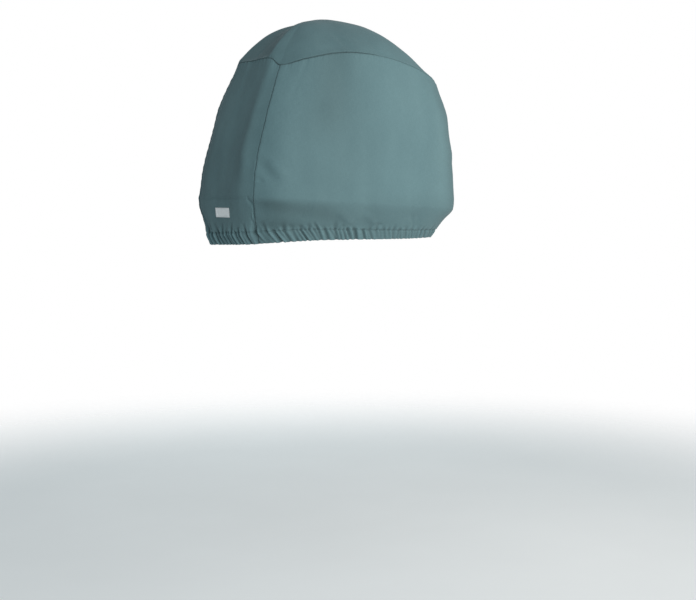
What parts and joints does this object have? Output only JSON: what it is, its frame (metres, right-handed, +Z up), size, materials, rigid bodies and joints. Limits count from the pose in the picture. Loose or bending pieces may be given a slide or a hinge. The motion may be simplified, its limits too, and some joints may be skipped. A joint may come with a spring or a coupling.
{
  "type": "outboard motor cover",
  "caption": "Fitted cloth cover for the head of a large outboard motor: domed crown, aft, side and front panels sewn at the corners, gathered elastic hem and a small blank label.",
  "frame": {"origin": "under the crest of the crown, where the motor's head bears on the inside of the cloth", "axes": "+X runs forward, from the aft panel to the front panel; +Y runs to port; +Z is up"},
  "size_m": [0.7569, 0.5288, 0.6961],
  "materials": {
    "cover_cloth": "matt woven canvas, grey teal",
    "label_cloth": "smooth white woven label"
  },
  "bodies": {
    "root": {"crown_panel": "cover_cloth", "aft_panel": "cover_cloth", "starboard_panel": "cover_cloth", "port_panel": "cover_cloth", "front_panel": "cover_cloth", "label": "label_cloth"}
  },
  "joints": []
}
